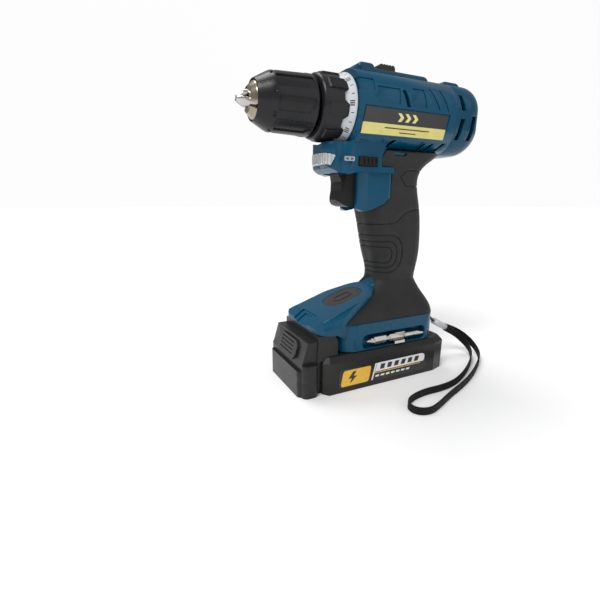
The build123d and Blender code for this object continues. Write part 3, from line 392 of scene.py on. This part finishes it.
# width in millimetres of the rounded edges
SOFT_EDGES = {
    "housing_left": 0.5, "housing_right": 0.5, "rear_cap": 0.6, "grip_left": 0.3, "grip_right": 0.3,
    "chuck_sleeve": 0.35, "torque_collar": 0.4, "scale_ring": 0.25, "chuck_body": 0.2,
    "chuck_jaw_1": 0.2, "chuck_jaw_2": 0.2, "chuck_jaw_3": 0.2, "trigger": 0.9,
    "direction_switch": 0.3, "speed_selector": 0.5, "foot_pad": 0.3, "led_lens": 0.3,
    "screwdriver_bit": 0.12, "bit_clip": 0.15, "side_badges": 0.12,
    "battery_lower": 0.5, "battery_upper": 0.6, "battery_latch": 0.35,
}
WELD_DISTANCE = 0.02 * MM
SHARP_ANGLE = 35             # degrees; sharper edges are rounded


def soften(piece, width):
    """Rounds the piece's sharp edges by this width in millimetres, and keeps its faces flat."""
    weld = piece.modifiers.new("weld", "WELD")
    weld.merge_threshold = WELD_DISTANCE
    bevel = piece.modifiers.new("soft_edges", "BEVEL")
    bevel.width = width * MM
    bevel.segments = 2
    bevel.limit_method = "ANGLE"
    bevel.angle_limit = math.radians(SHARP_ANGLE)
    bevel.use_clamp_overlap = True
    bevel.harden_normals = True


def dress(piece, material):
    """Gives a piece its one material, and a new piece its slot too."""
    piece.data.materials.clear()
    piece.data.materials.append(material)


def dress_nodes():
    """Every CAD node gets its material, and the moulded ones get soft edges."""
    for look, names in NODE_LOOKS.items():
        for name in names:
            dress(nodes[name], looks[look])
    for name, width in SOFT_EDGES.items():
        soften(nodes[name], width)


def new_piece(name, body, material, vertices, faces, smooth=False):
    """A mesh piece in metres that rides on a body."""
    mesh = bpy.data.meshes.new(name)
    mesh.from_pydata([tuple(v) for v in vertices], [], faces)
    mesh.update()
    for polygon in mesh.polygons:
        polygon.use_smooth = smooth
    piece = bpy.data.objects.new(name, mesh)
    bpy.context.scene.collection.objects.link(piece)
    dress(piece, material)
    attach(piece, body)
    return piece


# --- wrist strap --------------------------------------------------------------------------------
# corners of the strap's route in millimetres, from the ferrule round the far loop and back
STRAP_OUT = [
    (93.5, -9.0, 29.8), (105.0, -10.8, 25.4), (115.5, -15.3, 18.8), (121.0, -24.5, 10.8),
    (117.5, -36.0, 4.9), (104.5, -46.5, 3.5), (86.0, -58.0, 3.3), (66.0, -68.5, 3.3),
    (46.0, -76.5, 3.3), (28.0, -82.5, 3.3), (10.0, -90.0, 3.3), (-4.0, -94.5, 3.3),
    (-14.0, -90.0, 3.3),
]
STRAP_BACK = [
    (-14.5, -80.5, 3.3), (-5.0, -73.5, 3.3), (12.0, -70.0, 3.3), (30.0, -71.0, 3.3),
    (47.0, -69.0, 3.3), (64.0, -62.5, 3.3), (83.0, -52.3, 3.3), (100.0, -41.0, 3.5),
    (111.0, -31.5, 5.8), (114.0, -23.0, 11.0), (109.0, -17.0, 18.2), (101.5, -13.0, 24.0),
    (93.0, -11.2, 28.6),
]
STRAP_WIDTH = 6.2 * MM
STRAP_THICKNESS = 1.5 * MM
STRAP_RIM = 0.35 * MM        # height of the rounded edge of the band


def route_line(points):
    """Points along the smooth line that a route's corners control."""
    curve = bpy.data.curves.new("route", "CURVE")
    curve.dimensions = "3D"
    curve.resolution_u = 10
    spline = curve.splines.new("NURBS")
    spline.points.add(len(points) - 1)
    for end, (x, y, z) in zip(spline.points, points):
        end.co = (x * MM, y * MM, z * MM, 1)
    spline.order_u = 3
    spline.use_endpoint_u = True
    route = bpy.data.objects.new("route", curve)
    bpy.context.scene.collection.objects.link(route)
    mesh = bpy.data.meshes.new_from_object(route)
    line = [v.co.copy() for v in mesh.vertices]
    bpy.data.objects.remove(route)
    bpy.data.meshes.remove(mesh)
    return line


def add_strap():
    """The woven band, standing on edge, out along its route and back."""
    line = route_line(STRAP_OUT + STRAP_BACK)
    vertices, faces, uvs = [], [], []
    travelled = 0.0
    half = STRAP_WIDTH / 2
    thick = STRAP_THICKNESS / 2
    shoulder, lip = half - STRAP_RIM, thick * 0.4
    profile = [(-thick, -shoulder), (-thick, shoulder), (-lip, half), (lip, half),
               (thick, shoulder), (thick, -shoulder), (lip, -half), (-lip, -half)]
    count = len(profile)
    for k, point in enumerate(line):
        ahead = line[min(k + 1, len(line) - 1)] - line[max(k - 1, 0)]
        along = ahead.normalized()
        side = along.cross(Vector((0, 0, 1))).normalized()
        up = side.cross(along)
        if k:
            travelled += (point - line[k - 1]).length
        vertices += [point + side * a + up * b for a, b in profile]
        uvs.append(travelled)
    for k in range(len(line) - 1):
        for n in range(count):
            m = (n + 1) % count
            faces.append((k * count + n, k * count + m, (k + 1) * count + m, (k + 1) * count + n))
    faces.append(tuple(reversed(range(count))))
    faces.append(tuple((len(line) - 1) * count + n for n in range(count)))
    strap = new_piece("strap_band", "drill", looks["strap"], vertices, faces, smooth=True)
    layer = strap.data.uv_layers.new(name="weave")
    for loop in strap.data.loops:
        ring, place = divmod(loop.vertex_index, count)
        layer.data[loop.index].uv = (uvs[ring] / MM, profile[place][1] / MM)
    edges = strap.modifiers.new("split", "EDGE_SPLIT")
    edges.split_angle = math.radians(50)
    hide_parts("wrist_strap")


# --- printed marks ------------------------------------------------------------------------------
LIFT = 0.06 * MM             # thickness of the printed marks


def plate(name, body, material, outline, y, outwards=-1, thickness=LIFT):
    """A thin flat plate from an (x, z) outline in millimetres, standing out of the plane at y."""
    flat = [(x * MM, y * MM, z * MM) for x, z in outline]
    raised = [(x * MM, y * MM + outwards * thickness, z * MM) for x, z in outline]
    count = len(outline)
    faces = [tuple(range(count)), tuple(count + k for k in reversed(range(count)))]
    faces += [(k, count + k, count + (k + 1) % count, (k + 1) % count) for k in range(count)]
    piece = new_piece(name, body, material, flat + raised, faces)
    mesh = bmesh.new()
    mesh.from_mesh(piece.data)
    bmesh.ops.recalc_face_normals(mesh, faces=mesh.faces)
    mesh.to_mesh(piece.data)
    mesh.free()
    return piece


def rounded(x0, x1, z0, z1, corner, slant=0.0):
    """Outline of a rounded rectangle whose upper edge is moved by slant."""
    points = []
    for x, z, start in ((x1 - corner, z1 - corner, 0), (x0 + corner, z1 - corner, 90),
                        (x0 + corner, z0 + corner, 180), (x1 - corner, z0 + corner, 270)):
        for step in range(5):
            angle = math.radians(start + step * 22.5)
            px, pz = x + corner * math.cos(angle), z + corner * math.sin(angle)
            points.append((px + slant * (pz - z0) / (z1 - z0), pz))
    return points


def bar(x0, x1, z0, z1, slant=0.0):
    """Outline of a bar whose upper edge is moved by slant."""
    return [(x0, z0), (x1, z0), (x1 + slant, z1), (x0 + slant, z1)]


def both_sides(name, body, material, outline, y):
    """The same mark on the left and on the right."""
    plate(name + "_left", body, material, outline, -y, -1)
    plate(name + "_right", body, material, outline, y, 1)


def add_battery_marks():
    """The yellow tab, the white band and their plain bars on both battery labels."""
    face = -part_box("battery_labels")[0].y / MM
    raised = face + LIFT / MM

    def mark(name, look, outline, y=face):
        both_sides(f"label_{name}", "battery", looks[look], outline, y)

    mark("tab", "label_yellow", rounded(-48, -20, 5.2, 19.4, 2.4, 2.5))
    mark("bolt", "ink", [(-36, 17.6), (-40.5, 11.6), (-37.2, 11.6), (-39.0, 7.0), (-32.0, 13.4),
                         (-35.4, 13.4), (-32.6, 17.6)], raised)
    mark("band", "label_white", [(-13.5, 12.6), (40.5, 12.6), (41.8, 14.2), (41.8, 17.6),
                                 (40.6, 19.6), (38.2, 20.4), (-11.4, 20.4)])
    mark("slash", "label_white", bar(-17.0, -15.6, 5.4, 20.4, 3.6))
    mark("line", "label_yellow", bar(-14.0, 37.0, 11.2, 11.9, 0.2))
    for k in range(6):
        x = -8.6 + 7.6 * k
        mark(f"stroke_{k}", "ink", bar(x, x + 4.6, 14.2, 18.8, 1.2), raised)
    for k in range(7):
        x = -13.0 + 5.6 * k
        mark(f"dash_{k}", "label_white", bar(x, x + 3.8, 7.6, 9.2, 0.5))


def add_badge_marks():
    """Plain chevrons and lines on both side badges."""
    face = -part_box("side_badges")[0].y / MM
    for k in range(3):
        x = 2.0 + 7.0 * k
        chevron = [(x, 213.4), (x + 3.2, 213.4), (x + 6.0, 216.4), (x + 3.2, 219.4), (x, 219.4),
                   (x + 2.8, 216.4)]
        both_sides(f"badge_chevron_{k}", "drill", looks["badge_yellow"], chevron, face)
    both_sides("badge_line", "drill", looks["ink"], bar(-10, 34, 208.0, 208.8), face)
    both_sides("badge_short_line", "drill", looks["ink"], bar(4, 20, 205.2, 205.9), face)


TICK_GROUPS = 24
TICK_GAP = 1.4 * MM          # between the three ticks of a long group
TICK_THICKNESS = 0.04 * MM


def ring_radius(x):
    """Radius of the scale ring's sloping face at x, with a little room over it."""
    return (21.0 + (x / MM + 42) * 4.5 / 7.4) * MM + 0.05 * MM


def add_scale_marks():
    """Tick marks round the pale ring: three long ones, then two single short ones, and so on."""
    vertices, faces = [], []
    for group in range(TICK_GROUPS):
        long_tick = group % 3 == 0
        angle = 2 * math.pi * group / TICK_GROUPS
        width = (0.40 if long_tick else 0.28) * MM
        x0, x1 = (-38.2 if long_tick else -37.0) * MM, -35.2 * MM
        for offset in ((-TICK_GAP, 0.0, TICK_GAP) if long_tick else (0.0,)):
            start = len(vertices)
            for x in (x0, x1):
                radius = ring_radius(x)
                for side in (-1, 1):
                    turn = angle + (offset + side * width) / radius
                    vertices.append((x, radius * math.cos(turn), AXIS_Z + radius * math.sin(turn)))
            faces.append((start, start + 1, start + 3, start + 2))
    ticks = new_piece("scale_ticks", "collar", looks["ink"], vertices, faces)
    solid = ticks.modifiers.new("thickness", "SOLIDIFY")
    solid.thickness = TICK_THICKNESS


NECK_SIDE = 20.35            # Y of the neck's side faces, in millimetres


def add_direction_plate():
    """The small grey plate with two arrows beside the direction switch, on both sides."""
    for side, name in ((-1, "left"), (1, "right")):
        face = side * NECK_SIDE
        plate(f"direction_plate_{name}", "drill", looks["silver"],
              rounded(-40.0, -30.6, 184.3, 187.7, 0.9), face, side, 0.35 * MM)
        for k, point in enumerate((-1, 1)):
            middle = -35.3 + point * 2.1
            blunt = middle - point * 0.9
            arrow = [(middle + point * 1.6, 186), (blunt, 187.0), (blunt, 185.0)]
            plate(f"direction_arrow_{name}_{k}", "drill", looks["ink"], arrow,
                  face + side * 0.36, side)


# --- floor, backdrop, lights and world -----------------------------------------------------------
FLOOR_REACH = 9.0            # from the middle to each edge
DOME_RADIUS = 10.0


def stage_piece(name, mesh, material):
    """A piece of the studio, which isn't part of the object."""
    mesh.materials.append(material)
    piece = bpy.data.objects.new(name, mesh)
    bpy.context.scene.collection.objects.link(piece)
    return piece


def add_floor():
    """A plain, nearly white floor."""
    tree = Tree("floor_paper")
    base = tree.ramp(tree.noise(2, 3), (0.3, (0.97, 0.97, 0.97)), (0.7, (0.985, 0.985, 0.985)))
    roughness = tree.spread(tree.noise(6, 3), 0.8, 0.9)
    tree.finish(base, roughness, tree.bump(tree.noise(400, 2), 0.0001, 0.2))
    mesh = bpy.data.meshes.new("floor")
    corners = [(x * FLOOR_REACH, y * FLOOR_REACH, 0) for x, y in ((-1, -1), (1, -1), (1, 1), (-1, 1))]
    mesh.from_pydata(corners, [], [(0, 1, 2, 3)])
    stage_piece("floor", mesh, tree.material)


def add_backdrop():
    """A white dome seen only directly, so that it lights nothing."""
    sphere = bmesh.new()
    bmesh.ops.create_uvsphere(sphere, u_segments=48, v_segments=24, radius=DOME_RADIUS)
    mesh = bpy.data.meshes.new("backdrop")
    sphere.to_mesh(mesh)
    sphere.free()
    tree = Tree("backdrop_paper")
    base = tree.ramp(tree.noise(0.05, 2), (0.3, (0.97, 0.97, 0.97)), (0.7, (1.0, 1.0, 1.0)))
    tree.set(Emission_Strength=1.0, Specular_IOR_Level=0.0, Base_Color=(0, 0, 0, 1))
    tree.join(base, tree.shader.inputs["Emission Color"])
    dome = stage_piece("backdrop", mesh, tree.material)
    for ray in ("diffuse", "glossy", "transmission", "shadow", "volume_scatter"):
        setattr(dome, "visible_" + ray, False)


def add_sun(name, azimuth, elevation, softness, strength):
    """A soft light from far away; azimuth 0 shines along +Y, as the camera looks."""
    data = bpy.data.lights.new(name, "SUN")
    data.angle = math.radians(softness)
    data.energy = strength
    light = bpy.data.objects.new(name, data)
    light.rotation_euler = (math.radians(90 - elevation), 0, -math.radians(azimuth))
    bpy.context.scene.collection.objects.link(light)


def add_studio():
    """Three soft suns and an even white world."""
    add_sun("key", 62, 52, 26, 1.7)
    add_sun("fill", -25, 30, 50, 0.35)
    add_sun("top", 160, 66, 30, 1.1)
    world = bpy.data.worlds.new("studio")
    world.use_nodes = True
    background = world.node_tree.nodes["Background"]
    background.inputs["Color"].default_value = (1.0, 1.0, 1.0, 1)
    background.inputs["Strength"].default_value = 0.34
    bpy.context.scene.world = world
    bpy.context.scene.view_settings.view_transform = "Standard"


add_strap()
dress_nodes()
add_battery_marks()
add_badge_marks()
add_scale_marks()
add_direction_plate()
add_floor()
add_backdrop()
add_studio()
